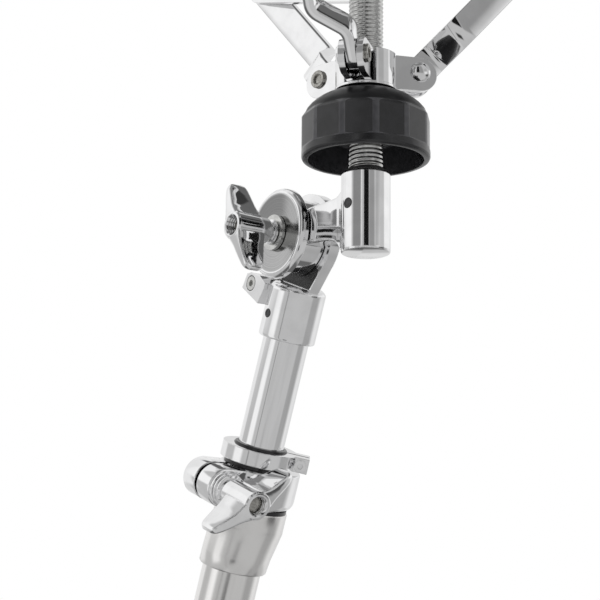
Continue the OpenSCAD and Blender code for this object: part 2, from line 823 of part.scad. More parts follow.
module basket_nut() {
  ribs = 12;
  flat = nut_d / 2 - 0.65;
  color("black") at_basket() difference() {
    nut_body();
    for (k = [0:ribs - 1]) rotate([0, 0, k * 360 / ribs]) {
      translate([flat, -10, nut_bottom + 3]) cube([5, 20, nut_wall_h + 2]);
    }
  }
}

module nut_insert() {
  color("silver") at_basket() ring(rod_r + run, rod_r + 3.15, insert_z, nut_top);
}

// Arms and links
module arm(i) {
  step_x = 13;
  step_len = 11;
  half_t = arm_t / 2;
  shift = 1.6;
  reach = arm_len_low + arm_len_mid + arm_len_tip;
  color("gainsboro") at_pivot(i) difference() {
    intersection() {
      linear_extrude(4 * arm_len_mid, center = true) polygon([
        [-arm_w, half_t], [step_x + shift, half_t], [step_x + step_len + shift, half_t - arm_step],
        [reach, half_t - arm_step], [reach, -half_t - arm_step],
        [step_x + step_len - shift, -half_t - arm_step], [step_x - shift, -half_t], [-arm_w, -half_t]
      ]);
      along_y(-arm_step - arm_t, arm_t) arm_outline();
    }
    y_cylinder(arm_rivet_r + run, -arm_t, arm_t);
    translate([link_pin_dist, 0, 0]) y_cylinder(link_rivet_r + link_slack, -arm_step - arm_t, -arm_step + arm_t);
  }
}

function heading(angle) = [cos(angle), sin(angle)];

// Side view of an arm: two bends with mitred corners and two round ends
module arm_outline() {
  half = arm_w / 2;
  rise = tip_bend - mid_bend;
  bend_1 = [arm_len_low, 0];
  bend_2 = bend_1 + arm_len_mid * heading(-mid_bend);
  end = bend_2 + (arm_len_tip - half) * heading(rise);
  mitre_1 = half / cos(mid_bend / 2) * heading(90 - mid_bend / 2);
  mitre_2 = half / cos(tip_bend / 2) * heading(90 - mid_bend + tip_bend / 2);
  square_end = half * heading(90 + rise);
  polygon([
    [0, -half], bend_1 - mitre_1, bend_2 - mitre_2, end - square_end,
    end + square_end, bend_2 + mitre_2, bend_1 + mitre_1, [0, half]
  ]);
  circle(half);
  translate(end) circle(half);
}

module at_tip(i) {
  at_pivot(i) translate([arm_len_low, -arm_step, 0]) rotate([0, mid_bend, 0]) translate([arm_len_mid, 0, 0])
    rotate([0, -tip_bend, 0]) children();
}

module tip(i) {
  grip = 26;
  wall = 3;
  half_t = arm_t / 2 + wall;
  start = arm_len_tip - grip;
  color("dimgray") at_tip(i) difference() {
    along_y(-half_t, half_t) {
      translate([start, -arm_w / 2 - wall]) square([grip - arm_w / 2, arm_w + 2 * wall]);
      translate([arm_len_tip - arm_w / 2, 0]) circle(d = arm_w + 2 * wall);
    }
    along_y(-arm_t / 2 - seat, arm_t / 2 + seat) translate([start - 1, 0]) {
      bar(grip + 1 - arm_w / 2, arm_w + 2 * seat);
    }
  }
}

module link(i) {
  head_in = arm_step + arm_t / 2 + face_gap;
  color("gainsboro") at_arm(i) translate([spider_pin_r, 0, spider_pin_z]) rotate([0, -link_angle, 0]) {
    difference() {
      along_y(-link_out, -link_in) bar(link_len, link_w);
      y_cylinder(link_rivet_r + run, -link_out - 1, -link_in + 1);
    }
    translate([link_len, 0, 0]) {
      y_cylinder(link_rivet_r, -head_in - eps, -link_out + eps);
      translate([0, -head_in, 0]) rotate([90, 0, 0]) dome(6, 2);
    }
  }
}

lower_tube();
tube_plug();
bottom_bracket();
bracket_pins();
housing();
height_clamp();
clamp_liner();
clamp_bolt();
clamp_wing_nut();
leg_collar();
collar_pins();
collar_wing_bolt();
brace(1);  // brace_1
brace(2);  // brace_2
brace(3);  // brace_3
leg(1);  // leg_1
leg(2);  // leg_2
leg(3);  // leg_3
foot(1);  // foot_1
foot(2);  // foot_2
foot(3);  // foot_3
memory_lock();
lock_bush();
lock_screw();
upper_tube();
tilter_base();
pinch_screw();
tilter_bolt();
tilter_wing_nut();
tilter_arm();
tilter_plate();
tilter_washer();
post();
post_screw();
threaded_rod();
spider();
spider_pins();
rod_cap();
hub_plate(1);  // hub_plate_1
hub_plate(2);  // hub_plate_2
hub_plate(3);  // hub_plate_3
hub_rivets();
hub_sleeve();
basket_nut();
nut_insert();
arm(1);  // arm_1
arm(2);  // arm_2
arm(3);  // arm_3
tip(1);  // tip_1
tip(2);  // tip_2
tip(3);  // tip_3
link(1);  // link_1
link(2);  // link_2
link(3);  // link_3
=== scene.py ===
"""Snare drum stand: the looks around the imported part, in metres and in its frame."""

import math

import bmesh
import bpy
from mathutils import Matrix, Vector


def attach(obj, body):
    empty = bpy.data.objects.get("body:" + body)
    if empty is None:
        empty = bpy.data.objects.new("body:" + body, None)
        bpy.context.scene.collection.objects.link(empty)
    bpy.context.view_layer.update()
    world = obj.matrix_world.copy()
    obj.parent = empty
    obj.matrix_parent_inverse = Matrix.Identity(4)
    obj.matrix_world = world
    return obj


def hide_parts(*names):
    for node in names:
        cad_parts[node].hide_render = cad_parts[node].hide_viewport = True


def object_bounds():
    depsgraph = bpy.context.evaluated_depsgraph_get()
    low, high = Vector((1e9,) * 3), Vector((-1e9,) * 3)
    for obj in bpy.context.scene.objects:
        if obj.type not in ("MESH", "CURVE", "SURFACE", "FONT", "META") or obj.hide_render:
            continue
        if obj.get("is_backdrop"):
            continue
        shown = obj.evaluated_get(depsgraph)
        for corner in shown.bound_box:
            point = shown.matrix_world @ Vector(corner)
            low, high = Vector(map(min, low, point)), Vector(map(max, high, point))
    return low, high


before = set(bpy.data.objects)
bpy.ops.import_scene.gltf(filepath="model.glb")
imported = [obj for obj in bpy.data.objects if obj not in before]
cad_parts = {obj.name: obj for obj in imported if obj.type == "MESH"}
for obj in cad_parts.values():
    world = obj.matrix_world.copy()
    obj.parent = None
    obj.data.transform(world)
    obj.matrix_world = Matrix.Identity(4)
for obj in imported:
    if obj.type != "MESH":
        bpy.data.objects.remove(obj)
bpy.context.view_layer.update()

# Camera: in front of the stand and to its right, a little above the hinge, rolled
# so that the post of the leaning basket stands upright in the picture.
camera_azimuth = math.radians(55.1)
camera_elevation = math.radians(5.64)
camera_roll = math.radians(13.41)
camera_target = Vector((0, 0, 0.4741))
camera_distance = 1.05
camera_to_right, camera_to_top = 0.00116, -0.0038
camera_lens = 131.5

to_camera = Vector((
    math.cos(camera_elevation) * math.sin(camera_azimuth),
    -math.cos(camera_elevation) * math.cos(camera_azimuth),
    math.sin(camera_elevation),
))
level = Vector((math.cos(camera_azimuth), math.sin(camera_azimuth), 0))
upright = to_camera.cross(level)
picture_right = level * math.cos(camera_roll) + upright * math.sin(camera_roll)
picture_up = upright * math.cos(camera_roll) - level * math.sin(camera_roll)
picture_axes = Matrix((picture_right, picture_up, to_camera)).transposed()

camera = bpy.data.objects.new("camera", bpy.data.cameras.new("camera"))
bpy.context.scene.collection.objects.link(camera)
camera.data.lens = camera_lens
camera_place = (
    camera_target + camera_to_right * picture_right + camera_to_top * picture_up
    + camera_distance * to_camera
)
camera.matrix_world = Matrix.Translation(camera_place) @ picture_axes.to_4x4()
bpy.context.scene.camera = camera
bpy.context.scene.view_settings.view_transform = "Standard"


# Studio: a grey tent with bright boards and dark cloths hung in it, which only
# polished metal sees. The rest gets even light, and the camera sees plain white.
def add_node(tree, kind, inputs=None, **settings):
    """A new node, with its settings and with its inputs given as values or as links."""
    node = tree.nodes.new(kind)
    for key, value in settings.items():
        setattr(node, key, value)
    for key, value in (inputs or {}).items():
        if isinstance(value, bpy.types.NodeSocket):
            tree.links.new(value, node.inputs[key])
        else:
            node.inputs[key].default_value = value
    return node


def arithmetic(tree, operation, first, second=0.0):
    """One step of arithmetic on numbers or on nodes' outputs."""
    return add_node(
        tree, "ShaderNodeMath", {0: first, 1: second}, operation=operation
    ).outputs[0]


def ramp(tree, value, low, high, start=0.0, end=1.0):
    """A smooth step of value from low to high."""
    return add_node(
        tree, "ShaderNodeMapRange",
        {"Value": value, 1: low, 2: high, 3: start, 4: end},
        interpolation_type="SMOOTHSTEP",
    ).outputs[0]


WHITE = (1, 1, 1, 1)
tent_wall = 0.52
tent_patches = [
    # Seen from the stand, in degrees to the right of the camera and above it: left
    # edge, right edge, low edge, high edge; then the edges' softness and the grey.
    (112, 190, -30, 40, 5, 0.75),
    (-190, -118, -14, 70, 5, 0.86),
    (-190, -138, -40, -14, 5, 0.7),
    (-130, -74, 9, 40, 4, 0.95),
    (-82, -54, -20, 8, 5, 0.95),
    (-66, -26, 10, 60, 3, 0.25),
    (-26, -21, 10, 50, 1.5, 0.75),
    (-11, 14, 13, 60, 2, 0.008),
    (16, 42, 10, 60, 4, 0.3),
    (50, 72, 3, 19, 6, 0.85),
    (50, 74, 20, 34, 4, 0.4),
    (74, 96, 5, 28, 4, 0.55),
    (96, 150, 2, 20, 4, 0.95),
    (70, 104, -50, -12, 4, 0.38),
    (-20, -4, -28, -16, 3, 0.04),
    (118, 140, -30, 0, 4, 0.82),
    (-36, -33, -40, 4, 1, 0.25),
    (60, 90, -14, 2, 3, 0.08),
    (66, 190, -90, -46, 6, 0.14),
    (-190, -52, -90, -42, 6, 0.12),
    (98, 190, 36, 62, 3, 0.13),
    (97, 120, 34, 62, 2, 0.04),
    (-190, -166, 32, 62, 3, 0.12),
    (-190, 190, 66, 95, 5, 0.2),
    (72, 108, -64, -42, 4, 0.4),
    (-50, -27, -62, -42, 3, 0.6),
]

world = bpy.data.worlds.new("tent")
bpy.context.scene.world = world
world.use_nodes = True
tent = world.node_tree
tent.nodes.clear()
seen_from = add_node(tent, "ShaderNodeTexCoord").outputs["Generated"]


def along(direction):
    """How far the way that the tent is seen in goes along a direction."""
    return add_node(
        tent, "ShaderNodeVectorMath", {0: seen_from, 1: direction}, operation="DOT_PRODUCT"
    ).outputs["Value"]


tent_turn = arithmetic(
    tent, "DEGREES", arithmetic(tent, "ARCTAN2", along(picture_right), along(to_camera))
)
tent_rise = arithmetic(tent, "DEGREES", arithmetic(tent, "ARCSINE", along(picture_up)))
tent_grey = tent_wall
for left, right, low, high, soft, grey in tent_patches:
    inside = arithmetic(
        tent, "MULTIPLY",
        arithmetic(
            tent, "MULTIPLY",
            ramp(tent, tent_turn, left - soft, left + soft),
            ramp(tent, tent_turn, right - soft, right + soft, 1, 0),
        ),
        arithmetic(
            tent, "MULTIPLY",
            ramp(tent, tent_rise, low - soft, low + soft),
            ramp(tent, tent_rise, high - soft, high + soft, 1, 0),
        ),
    )
    tent_grey = add_node(
        tent, "ShaderNodeMix", {0: inside, 2: tent_grey, 3: grey}, data_type="FLOAT"
    ).outputs[0]

rays = add_node(tent, "ShaderNodeLightPath").outputs
even_light = 0.75
polished_view = add_node(
    tent, "ShaderNodeMix", {0: rays["Is Glossy Ray"], 2: even_light, 3: tent_grey},
    data_type="FLOAT",
).outputs[0]
plain_view = arithmetic(tent, "MAXIMUM", rays["Is Camera Ray"], rays["Is Transmission Ray"])
tent_strength = add_node(
    tent, "ShaderNodeMix", {0: plain_view, 2: polished_view, 3: 1.0}, data_type="FLOAT"
).outputs[0]
tent_light = add_node(
    tent, "ShaderNodeBackground", {"Color": WHITE, "Strength": tent_strength}
)
add_node(tent, "ShaderNodeOutputWorld", {"Surface": tent_light.outputs[0]})

# Lamps: one soft box over the left shoulder and a weaker one from the right. They
# shape the plastic and the rubber, and polished metal doesn't mirror them.
lamp_distance = 1.8
for name, turn, rise, size, power in [("key", -40, 45, 1.2, 22), ("fill", 60, 25, 1.0, 8)]:
    lamp = bpy.data.objects.new(name, bpy.data.lights.new(name, "AREA"))
    bpy.context.scene.collection.objects.link(lamp)
    lamp.data.size = size
    lamp.data.energy = power
    turn, rise = math.radians(turn), math.radians(rise)
    to_lamp = picture_axes @ Vector((
        math.sin(turn) * math.cos(rise), math.sin(rise), math.cos(turn) * math.cos(rise)
    ))
    lamp.matrix_world = (
        Matrix.Translation(camera_target + lamp_distance * to_lamp)
        @ to_lamp.to_track_quat("Z", "Y").to_matrix().to_4x4()
    )
    lamp.visible_glossy = False

# Floor: pale paper that keeps the stand's shadow and runs out into plain white. The
# chrome doesn't mirror it, so that the tent shows on the undersides too.
floor_radius = 3.0
shadow_ends, white_starts = 0.35, 0.9
floor_mesh = bpy.data.meshes.new("floor")
floor_shape = bmesh.new()
bmesh.ops.create_circle(floor_shape, cap_ends=True, segments=96, radius=floor_radius)
floor_shape.to_mesh(floor_mesh)
floor_shape.free()
floor = bpy.data.objects.new("floor", floor_mesh)
bpy.context.scene.collection.objects.link(floor)
floor.visible_glossy = False
floor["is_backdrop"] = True

paper = bpy.data.materials.new("pale_paper")
paper.use_nodes = True
sheet = paper.node_tree
sheet.nodes.clear()
from_middle = add_node(
    sheet, "ShaderNodeVectorMath",
    {0: add_node(sheet, "ShaderNodeTexCoord").outputs["Object"]}, operation="LENGTH",
).outputs["Value"]
far_and_seen = arithmetic(
    sheet, "MULTIPLY", ramp(sheet, from_middle, shadow_ends, white_starts),
    add_node(sheet, "ShaderNodeLightPath").outputs["Is Camera Ray"],
)
lit_paper = add_node(sheet, "ShaderNodeBsdfDiffuse", {"Color": (0.93, 0.93, 0.93, 1)})
white_paper = add_node(sheet, "ShaderNodeEmission", {"Color": WHITE, "Strength": 1.0})
paper_mix = add_node(
    sheet, "ShaderNodeMixShader",
    {0: far_and_seen, 1: lit_paper.outputs[0], 2: white_paper.outputs[0]},
)
add_node(sheet, "ShaderNodeOutputMaterial", {"Surface": paper_mix.outputs[0]})
floor_mesh.materials.append(paper)

# Rubber: the three feet, the plug in the tube's end and the grips on the basket's
# arms are moulded from black rubber with a fine dull grain, and pushed on.
MM = 0.001


def surface(name, colour, dark, gloss, spots, relief, edge, metallic=1, **sockets):
    """A finish whose gloss and level vary a little over the part, with edges rounded as
    polishing or moulding leaves them. gloss: lowest and highest roughness; spots: sizes
    of the variation along x, y, z; relief: size and height of the waves; edge: radius
    of the rounding. All sizes are in mm."""
    material = bpy.data.materials.new(name)
    material.use_nodes = True
    tree = material.node_tree
    shader = tree.nodes["Principled BSDF"]
    place = add_node(tree, "ShaderNodeTexCoord").outputs["Object"]
    stretched = add_node(
        tree, "ShaderNodeMapping", {"Vector": place, "Scale": [1 / (MM * s) for s in spots]}
    ).outputs[0]
    cloud = add_node(
        tree, "ShaderNodeTexNoise", {"Vector": stretched, "Scale": 1, "Detail": 4}
    ).outputs["Fac"]
    roughness = add_node(
        tree, "ShaderNodeMapRange", {"Value": cloud, 1: 0.3, 2: 0.7, 3: gloss[0], 4: gloss[1]}
    ).outputs[0]
    tree.links.new(roughness, shader.inputs["Roughness"])
    clouded = add_node(
        tree, "ShaderNodeMix",
        {0: ramp(tree, cloud, 0.35, 0.7), 6: (*colour, 1), 7: (*dark, 1)}, data_type="RGBA",
    ).outputs[2]
    tree.links.new(clouded, shader.inputs["Base Color"])
    wave_size, wave_height = relief
    waves = add_node(
        tree, "ShaderNodeTexNoise",
        {"Vector": place, "Scale": 1 / (MM * wave_size), "Detail": 2},
    ).outputs["Fac"]
    rounded = add_node(tree, "ShaderNodeBevel", {"Radius": MM * edge}, samples=4).outputs[0]
    uneven = add_node(tree, "ShaderNodeBump", {
        "Height": waves, "Distance": MM * wave_height, "Strength": 1.0, "Normal": rounded,
    }).outputs[0]
    tree.links.new(uneven, shader.inputs["Normal"])
    shader.inputs["Metallic"].default_value = metallic
    for key, value in sockets.items():
        shader.inputs[key.replace("_", " ")].default_value = value
    return material


def dress(material, *names):
    """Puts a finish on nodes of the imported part."""
    for name in names:
        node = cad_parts[name]
        node.data.materials.clear()
        node.data.materials.append(material)


black_rubber = surface(
    "black_rubber", colour=(0.025, 0.025, 0.026), dark=(0.016, 0.016, 0.017),
    gloss=(0.55, 0.75), spots=(4, 4, 4), relief=(0.8, 0.03), edge=0.8, metallic=0,
)
dress(black_rubber, "tube_plug", "foot_1", "foot_2", "foot_3", "tip_1", "tip_2", "tip_3")

# Legs and braces: paired flat straps of rolled steel, chromed and riveted together.
# The basket's links are cut from the same strap.
CHROME, CHROME_DARK = (0.93, 0.93, 0.935), (0.86, 0.86, 0.865)
strap_chrome = surface(
    "strap_chrome", colour=CHROME, dark=CHROME_DARK,
    gloss=(0.03, 0.07), spots=(9, 9, 9), relief=(22, 0.02), edge=0.35,
)
for number in (1, 2, 3):
    dress(strap_chrome, f"brace_{number}", f"leg_{number}", f"link_{number}")

# Collar and bottom bracket: chromed zinc castings that carry the legs and the
# braces, with plated steel rivets through their lugs.
cast_chrome = surface(
    "cast_chrome", colour=CHROME, dark=CHROME_DARK,
    gloss=(0.03, 0.07), spots=(9, 9, 9), relief=(14, 0.02), edge=0.6,
)
zinc = surface(
    "zinc", colour=(0.72, 0.72, 0.7), dark=(0.6, 0.6, 0.59),
    gloss=(0.12, 0.2), spots=(3, 3, 3), relief=(2, 0.006), edge=0.25,
)
dress(cast_chrome, "bottom_bracket", "leg_collar")
dress(zinc, "bracket_pins", "collar_pins")


# Collar's wing bolt: a chromed casting of two blades on a hub, moulded round the
# screw that clamps the tripod's collar to the lower tube.
def turn_shell(shape, place, profile, segments=72):
    """Adds a turned solid. The profile's (radius, height) points are in millimetres, and
    it closes on itself unless it starts and ends on the axis."""
    rings = []
    for radius, height in profile:
        around = segments if radius > 0 else 1
        rings.append([
            shape.verts.new(place @ Vector((
                MM * radius * math.cos(2 * math.pi * k / segments),
                MM * radius * math.sin(2 * math.pi * k / segments), MM * height,
            ))) for k in range(around)
        ])
    pairs = list(zip(rings, rings[1:]))
    if profile[0][0] > 0:
        pairs.append((rings[-1], rings[0]))
    for low_ring, high_ring in pairs:
        for k in range(segments):
            n = (k + 1) % segments
            if len(low_ring) == 1:
                shape.faces.new((low_ring[0], high_ring[n], high_ring[k]))
            elif len(high_ring) == 1:
                shape.faces.new((low_ring[k], low_ring[n], high_ring[0]))
            else:
                shape.faces.new((low_ring[k], low_ring[n], high_ring[n], high_ring[k]))


def skin_shell(shape, place, rows, looped=False):
    """Adds a closed skin over a row of outlines, whose points are in millimetres. It
    has a cap at each end, or else runs on from the last outline to the first."""
    rings = [[shape.verts.new(place @ (MM * Vector(point))) for point in row] for row in rows]
    if looped:
        rings.append(rings[0])
    else:
        shape.faces.new(rings[0])
        shape.faces.new(rings[-1])
    for first, second in zip(rings, rings[1:]):
        for k in range(len(first)):
            n = (k + 1) % len(first)
            shape.faces.new((first[k], first[n], second[n], second[k]))


def rounded_box(half_wide, low_edge, high_edge, corner, steps=3, low_outer=0):
    """Outline of a box with round corners, as (across, along) points. The low outer
    corner may be rounder than the others."""
    corner = min(corner, half_wide * 0.98, (high_edge - low_edge) * 0.49)
    outline = []
    for across, up, start in ((1, 1, 0), (-1, 1, 90), (-1, -1, 180), (1, -1, 270)):
        rounding = max(corner, low_outer) if (across, up) == (1, -1) else corner
        middle_across = across * (half_wide - rounding)
        middle_up = (high_edge - rounding) if up > 0 else (low_edge + rounding)
        for k in range(steps + 1):
            angle = math.radians(start + 90 * k / steps)
            outline.append((
                middle_across + rounding * math.cos(angle),
                middle_up + rounding * math.sin(angle),
            ))
    return outline


def new_piece(name, shape, material, crease=32):
    """An object from closed shells, with smooth faces and sharp creases."""
    bmesh.ops.recalc_face_normals(shape, faces=shape.faces)
    mesh = bpy.data.meshes.new(name)
    shape.to_mesh(mesh)
    shape.free()
    mesh.shade_smooth()
    mesh.set_sharp_from_angle(angle=math.radians(crease))
    mesh.materials.append(material)
    piece = bpy.data.objects.new(name, mesh)
    bpy.context.scene.collection.objects.link(piece)
    return piece


def wing_shells(shape, place, length, span, hub, sweep, root_depth, tip_depth):
    """Adds the two blades of a wing nut: thin at the tips and nearly as wide as the hub
    where they leave its wall, clear of its bore. x is along the blades and z along the
    screw, towards the front."""
    half = span / 2
    edge_rounding = 1.1
    stations = [
        # share of the half span, half thickness as a share of the hub, rounding of the tip
        (0.21, 0.74, 0), (0.27, 0.68, 0), (0.35, 0.57, 0), (0.45, 0.485, 0),
        (0.56, 0.45, 0), (0.7, 0.4, 0), (0.82, 0.35, 0), (0.9, 0.3, 0.15),
        (0.95, 0.25, 0.6), (0.98, 0.18, 1.4), (1, 0.07, 2.6),
    ]
    for side in (-1, 1):
        rows = []
        for out, thickness, tuck in stations:
            front = length - sweep * out ** 2
            beyond_hub = max(0, (out * half - hub) / (half - hub))
            back = length - root_depth + (root_depth - sweep - tip_depth) * beyond_hub
            outline = rounded_box(thickness * hub, back + tuck, front - tuck, edge_rounding)
            rows.append([
                (side * out * half, across, along_screw) for across, along_screw in outline
            ])
        skin_shell(shape, place, rows)


def axes(origin, x_axis, z_axis):
    """Place of a shape whose x and z axes point the given ways; the origin is in mm."""
    x_axis, z_axis = Vector(x_axis).normalized(), Vector(z_axis).normalized()
    turn = Matrix((x_axis, z_axis.cross(x_axis), z_axis)).transposed().to_4x4()
    return Matrix.Translation(MM * Vector(origin)) @ turn


collar_wall, collar_screw_height = -24.3, 130
collar_screw = axes((collar_wall, 0, collar_screw_height), (0, 0, 1), (-1, 0, 0))
shape = bmesh.new()
turn_shell(shape, collar_screw, [
    (0, -10), (4, -10), (4, 0), (6.6, 0), (6.9, 0.4), (5.6, 12.6), (5, 13.4), (0, 13.4),
])
wing_shells(
    shape, collar_screw, length=13.6, span=36, hub=5.4, sweep=2, root_depth=11.5, tip_depth=7.5
)
wing_bolt = new_piece("collar_wing_bolt_cast", shape, cast_chrome)
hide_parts("collar_wing_bolt")
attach(wing_bolt, "collar_wing")

# Lower tube: drawn steel tube with a satin nickel finish, brushed lengthwise. The
# bottom bracket sits round its foot and the height clamp round its split top.
satin_tube = surface(
    "satin_tube", colour=(0.9, 0.89, 0.88), dark=(0.86, 0.85, 0.84),
    gloss=(0.14, 0.19), spots=(1.5, 1.5, 60), relief=(3, 0.002), edge=0.3,
)
lower_bore, lower_radius, lower_foot, lower_top = 12.9, 14.3, 18, 387
shape = bmesh.new()
turn_shell(shape, Matrix(), [
    (lower_bore, lower_foot), (lower_radius - 0.3, lower_foot),
    (lower_radius, lower_foot + 0.3), (lower_radius, lower_foot + 1),
    (lower_radius, lower_top - 1), (lower_radius, lower_top - 0.3),
    (lower_radius - 0.3, lower_top), (lower_bore, lower_top),
], 96)
lower_tube = new_piece("lower_tube_drawn", shape, satin_tube)
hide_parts("lower_tube")
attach(lower_tube, "base")

# Housing: a satin casting pressed on the lower tube. It is round at its foot and grows
# out at the back, and a saw cut parts its rim from the clamp above.
satin_sleeve = surface(
    "satin_sleeve", colour=(0.88, 0.87, 0.86), dark=(0.84, 0.83, 0.82),
    gloss=(0.2, 0.25), spots=(12, 12, 12), relief=(3, 0.002), edge=0.3,
)


def bulged(angle, radius, bulge):
    """Distance to the outline of a round of the given radius, moved back by the bulge."""
    side, back = math.cos(angle), math.sin(angle)
    return bulge * back + math.sqrt(radius ** 2 - (bulge * side) ** 2)


shape = bmesh.new()
housing_rows = []
for height, radius, bulge in [
    (336.6, 15.6, 0), (336.7, 16.1, 0), (337.2, 16.5, 0), (344, 16.9, 0.6), (352, 17.5, 1.8),
    (357.5, 17.9, 2.6), (358.6, 17.75, 2.7), (359.4, 17.7, 2.8), (366.7, 17.7, 2.8),
    (367.4, 17.4, 2.8), (367.5, 16.8, 2.8),
]:
    row = []
    for k in range(90):
        angle = math.radians(4 * k)
        outside = bulged(angle, radius, bulge)
        row.append((outside * math.cos(angle), outside * math.sin(angle), height))
    housing_rows.append(row)
skin_shell(shape, Matrix(), housing_rows)
housing = new_piece("housing_casting", shape, satin_sleeve, 50)
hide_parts("housing")
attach(housing, "base")

# Height clamp: a chromed casting with two ears that a bolt draws together round the
# split end of the lower tube. A black nylon liner in it guides the upper tube.
clamp_bore, clamp_radius, clamp_low, clamp_high = 14.36, 17.7, 368.6, 387.5
clamp_bulge, low_back_corner = 5.4, 5.5
half_split = 4.6  # degrees
clamp_bolt_y, clamp_bolt_z = -22.7, 377.5
ear_radius, ear_end, ear_root_y, slot_half = 9.6, 12.2, -11, 1.2
shape = bmesh.new()
clamp_rows = []
for k in range(89):
    angle = math.radians(-90 + half_split + (360 - 2 * half_split) * k / 88)
    to_back = max(0, math.sin(angle)) ** 0.5
    outside = bulged(angle, clamp_radius, clamp_bulge * to_back)
    half_wall, middle = (outside - clamp_bore) / 2, (outside + clamp_bore) / 2
    section = rounded_box(half_wall, clamp_low, clamp_high, 1.0, 5, low_back_corner * to_back)
    clamp_rows.append([
        ((middle + across) * math.cos(angle), (middle + across) * math.sin(angle), up)
        for across, up in section
    ])
skin_shell(shape, Matrix(), clamp_rows)
for side in (-1, 1):
    ear_rows = []
    for out, tuck in [
        (slot_half, 0.3), (slot_half + 0.3, 0), (ear_end - 1.2, 0), (ear_end - 0.4, 0.35),
        (ear_end, 1.2),
    ]:
        round_radius = ear_radius - tuck
        row = [(side * out, ear_root_y, clamp_bolt_z + round_radius)]
        for k in range(25):
            angle = math.radians(90 + 180 * k / 24)
            row.append((
                side * out, clamp_bolt_y + round_radius * math.cos(angle),
                clamp_bolt_z + round_radius * math.sin(angle),
            ))
        ear_rows.append(row + [(side * out, ear_root_y, clamp_bolt_z - round_radius)])
    skin_shell(shape, Matrix(), ear_rows)
clamp = new_piece("height_clamp_cast", shape, cast_chrome)
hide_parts("height_clamp")
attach(clamp, "base")

black_plastic = surface(
    "black_plastic", colour=(0.011, 0.011, 0.012), dark=(0.008, 0.008, 0.0085),
    gloss=(0.16, 0.24), spots=(5, 5, 5), relief=(0.4, 0.004), edge=0.5, metallic=0,
)
dress(black_plastic, "clamp_liner")

# Skirt of the clamp's liner: the black nylon runs out under the clamp and shows as a
# black line in the saw cut between the clamp and the housing.
skirt_bore, skirt_low, skirt_high = 14.4, 366.8, 369.2
skirt_radius, skirt_bulge, skirt_least = 17.1, 2.8, 15
shape = bmesh.new()
skirt_rows = []
for k in range(72):
    angle = math.radians(5 * k)
    outside = max(skirt_least, bulged(angle, skirt_radius, skirt_bulge))
    skirt_rows.append([
        (radius * math.cos(angle), radius * math.sin(angle), height) for radius, height in (
            (skirt_bore, skirt_low), (outside, skirt_low),
            (outside, skirt_high), (skirt_bore, skirt_high),
        )
    ])
skin_shell(shape, Matrix(), skirt_rows, looped=True)
skirt = new_piece("liner_skirt", shape, black_plastic)
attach(skirt, "base")

# Clamp bolt: a plated bolt with a low head on the far ear, threaded up to its end in
# the wing nut, and the washer under the nut. Its end is duller than the rest.
steel_bolt = surface(
    "steel_bolt", colour=(0.5, 0.49, 0.46), dark=(0.3, 0.29, 0.27),
    gloss=(0.2, 0.3), spots=(1, 1, 1), relief=(1, 0.004), edge=0.1,
)
bright_bolt = surface(
    "bright_bolt", colour=CHROME, dark=CHROME_DARK,
    gloss=(0.05, 0.1), spots=(4, 4, 4), relief=(6, 0.004), edge=0.25,
)
bolt_radius, bolt_chamfer, thread_depth, thread_pitch = 4, 0.8, 0.5, 1.25
dull_from = 20


def threaded_end(end, turns=6):
    """Profile points of the last turns of a bolt's thread, up to its chamfered end."""
    points = []
    for k in range(turns, 0, -1):
        points += [
            (bolt_radius, end - bolt_chamfer - thread_pitch * k),
            (bolt_radius - thread_depth, end - bolt_chamfer - thread_pitch * (k - 0.5)),
        ]
    return points + [(bolt_radius, end - bolt_chamfer), (bolt_radius - 0.7, end), (0, end)]


shape = bmesh.new()
turn_shell(
    shape, axes((0, clamp_bolt_y, clamp_bolt_z), (0, 0, 1), (1, 0, 0)),
    [
        (0, -12.9), (2.2, -12.9), (2.9, -13.6), (6, -13.6), (6.8, -13.2), (7, -12.25),
        (bolt_radius, -12.25),
    ] + threaded_end(38.5),
)
turn_shell(
    shape, axes((12.25, clamp_bolt_y, clamp_bolt_z), (0, 0, 1), (1, 0, 0)),
    [(4.05, 0), (8.5, 0), (8.8, 0.3), (8.8, 1.3), (8.5, 1.6), (4.05, 1.6)],
)
clamp_bolt = new_piece("clamp_bolt_threaded", shape, bright_bolt)
clamp_bolt.data.materials.append(steel_bolt)
for face in clamp_bolt.data.polygons:
    face.material_index = 1 if face.center.x > MM * dull_from else 0
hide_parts("clamp_bolt")
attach(clamp_bolt, "base")

# Height clamp's wing nut: a chromed casting with a stepped foot, screwed on the
# clamp's bolt.
clamp_nut_x = 14.15
clamp_wing_turn = math.radians(130)
clamp_nut = axes(
    (clamp_nut_x, clamp_bolt_y, clamp_bolt_z),
    (0, math.sin(clamp_wing_turn), -math.cos(clamp_wing_turn)), (1, 0, 0),
)


def hub_profile(length, foot, base, front, bore):
    """Turned outline of a wing nut's hub, with the first turns of its thread inside."""
    threads = []
    for k in range(4):
        threads += [
            (bore - 0.45, length - 1.2 - thread_pitch * k),
            (bore, length - 1.8 - thread_pitch * k),
        ]
    return foot + [
        (base, foot[-1][1] + 0.3), (front - 0.5, length - 5), (front, length - 1),
        (front - 0.6, length - 0.15), (front - 1.1, length), (bore + 0.5, length),
        (bore, length - 0.5),
    ] + threads + [(bore - 0.4, 2), (bore - 0.4, 0)]


clamp_nut_length = 28
clamp_nut_foot = [
    (7.6, 0), (8.3, 0.3), (8.3, 1.3), (7.2, 1.5), (7.2, 2.1), (7.8, 2.3), (7.8, 3.2),
]
shape = bmesh.new()
turn_shell(shape, clamp_nut, hub_profile(
    clamp_nut_length, clamp_nut_foot, base=6.5, front=7, bore=4.55
))
wing_shells(
    shape, clamp_nut, clamp_nut_length, span=49, hub=6.4, sweep=4.6, root_depth=19, tip_depth=11
)
clamp_wings = new_piece("clamp_wing_nut_cast", shape, cast_chrome)
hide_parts("clamp_wing_nut")
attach(clamp_wings, "clamp_wing")

